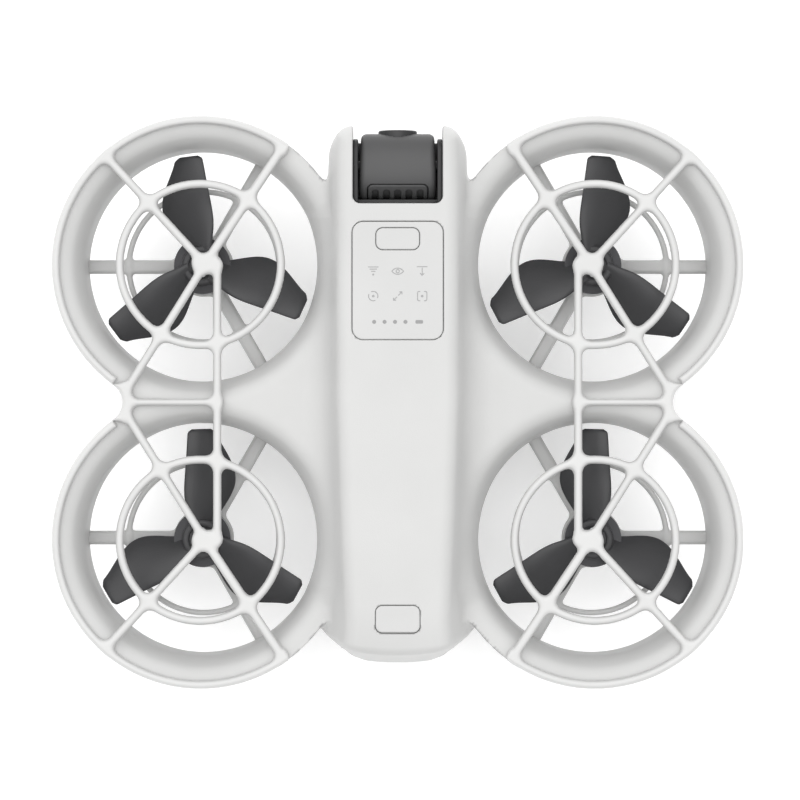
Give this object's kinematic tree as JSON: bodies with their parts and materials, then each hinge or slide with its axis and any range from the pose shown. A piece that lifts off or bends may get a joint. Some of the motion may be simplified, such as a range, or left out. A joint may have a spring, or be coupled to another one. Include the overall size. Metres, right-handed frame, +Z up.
{
  "type": "ducted camera quadcopter",
  "caption": "Palm-size ducted camera drone: moulded body with tilting nose camera, caged three-blade rotors, control panel and slide-out battery.",
  "frame": {"origin": "centre of the bounding box on the ground plane", "axes": "+Z up, +Y towards the nose camera, +X to the right seen from above with the nose forward"},
  "size_m": [0.157, 0.13, 0.0485],
  "materials": {
    "shell_white": "fine matte moulded",
    "panel_white": "satin moulded",
    "guard_white": "satin moulded",
    "icon_grey": "printed",
    "light_diffuser": "translucent diffuser",
    "prop_grey": "glass-filled, satin",
    "camera_grey": "fine matte",
    "dark_plastic": "matte",
    "lens_glass": "coated",
    "lens_ring": "gloss",
    "board_green": "solder mask",
    "chip_black": "epoxy",
    "steel": "machined",
    "aluminium": "extruded",
    "bell_dark": "anodised",
    "copper": "enamelled wire",
    "contact_gold": "plated",
    "battery_grey": "fine matte moulded",
    "cell_blue": "pouch film",
    "pad_rubber": "moulded",
    "sensor_dark": "infrared window"
  },
  "bodies": {
    "airframe": {"upper_shell": "shell_white", "deck_frame": "shell_white", "duct_fl": "shell_white", "duct_fr": "shell_white", "duct_rl": "shell_white", "duct_rr": "shell_white", "arm_frames": "shell_white", "belly_shell": "shell_white", "control_panel": "panel_white", "panel_icons": "icon_grey", "status_lights": "light_diffuser", "camera_brackets": "dark_plastic", "tilt_motor": "bell_dark", "main_board": "board_green", "board_chips": "chip_black", "board_screws": "steel", "heat_sink": "aluminium", "tact_switches": "dark_plastic", "usb_socket": "steel", "usb_tongue": "dark_plastic", "down_camera": "dark_plastic", "down_lens": "lens_glass", "infrared_sensors": "sensor_dark", "antennas": "contact_gold", "motor_bases": "bell_dark", "motor_stators": "steel", "motor_coils": "copper", "base_screws": "steel", "shell_screws": "steel", "bay_contacts": "contact_gold", "landing_pads": "pad_rubber"},
    "rotor_fl": {"motor_bell_fl": "bell_dark", "propeller_fl": "prop_grey", "prop_screws_fl": "steel"},
    "rotor_fr": {"motor_bell_fr": "bell_dark", "propeller_fr": "prop_grey", "prop_screws_fr": "steel"},
    "rotor_rl": {"motor_bell_rl": "bell_dark", "propeller_rl": "prop_grey", "prop_screws_rl": "steel"},
    "rotor_rr": {"motor_bell_rr": "bell_dark", "propeller_rr": "prop_grey", "prop_screws_rr": "steel"},
    "camera": {"camera_housing": "camera_grey", "lens_barrel": "lens_ring", "lens_glass": "lens_glass", "rear_comb": "dark_plastic", "camera_pivots": "steel"},
    "mode": {"mode_button": "panel_white"},
    "power": {"power_button": "panel_white"},
    "battery": {"battery_case": "battery_grey", "battery_cells": "cell_blue", "battery_contacts": "contact_gold"},
    "latch_left_body": {"latch_left": "battery_grey"},
    "latch_right_body": {"latch_right": "battery_grey"},
    "guard_left_body": {"guard_left": "guard_white"},
    "guard_right_body": {"guard_right": "guard_white"}
  },
  "joints": [
    {"name": "rotor_spin_fl", "type": "hinge", "parent": "airframe", "child": "rotor_fl", "pos_m": [-0.0448, 0.0313, 0.03], "axis": [0, 0, 1], "continuous": true},
    {"name": "rotor_spin_fr", "type": "hinge", "parent": "airframe", "child": "rotor_fr", "pos_m": [0.0448, 0.0313, 0.03], "axis": [0, 0, 1], "continuous": true},
    {"name": "rotor_spin_rl", "type": "hinge", "parent": "airframe", "child": "rotor_rl", "pos_m": [-0.0448, -0.0313, 0.03], "axis": [0, 0, 1], "continuous": true},
    {"name": "rotor_spin_rr", "type": "hinge", "parent": "airframe", "child": "rotor_rr", "pos_m": [0.0448, -0.0313, 0.03], "axis": [0, 0, 1], "continuous": true},
    {"name": "camera_tilt", "type": "hinge", "parent": "airframe", "child": "camera", "pos_m": [0, 0.0534, 0.038], "axis": [1, 0, 0], "range_deg": [-90, 60]},
    {"name": "mode_press", "type": "slide", "parent": "airframe", "child": "mode", "axis": [0, 0, -1], "range_m": [0, 0.0005], "stiffness_N_per_m": 400, "springref_m": -0.0006},
    {"name": "power_press", "type": "slide", "parent": "airframe", "child": "power", "axis": [0, 0, -1], "range_m": [0, 0.0005], "stiffness_N_per_m": 400, "springref_m": -0.0006},
    {"name": "battery_slide", "type": "slide", "parent": "airframe", "child": "battery", "axis": [0, -1, 0], "range_m": [0, 0.07]},
    {"name": "latch_press_left", "type": "slide", "parent": "battery", "child": "latch_left_body", "axis": [1, 0, 0], "range_m": [0, 0.0012], "stiffness_N_per_m": 300, "springref_m": -0.0005},
    {"name": "latch_press_right", "type": "slide", "parent": "battery", "child": "latch_right_body", "axis": [-1, 0, 0], "range_m": [0, 0.0012], "stiffness_N_per_m": 300, "springref_m": -0.0005},
    {"name": "guard_lift_left", "type": "slide", "parent": "airframe", "child": "guard_left_body", "axis": [0, 0, 1], "range_m": [0, 0.03]},
    {"name": "guard_lift_right", "type": "slide", "parent": "airframe", "child": "guard_right_body", "axis": [0, 0, 1], "range_m": [0, 0.03]}
  ]
}
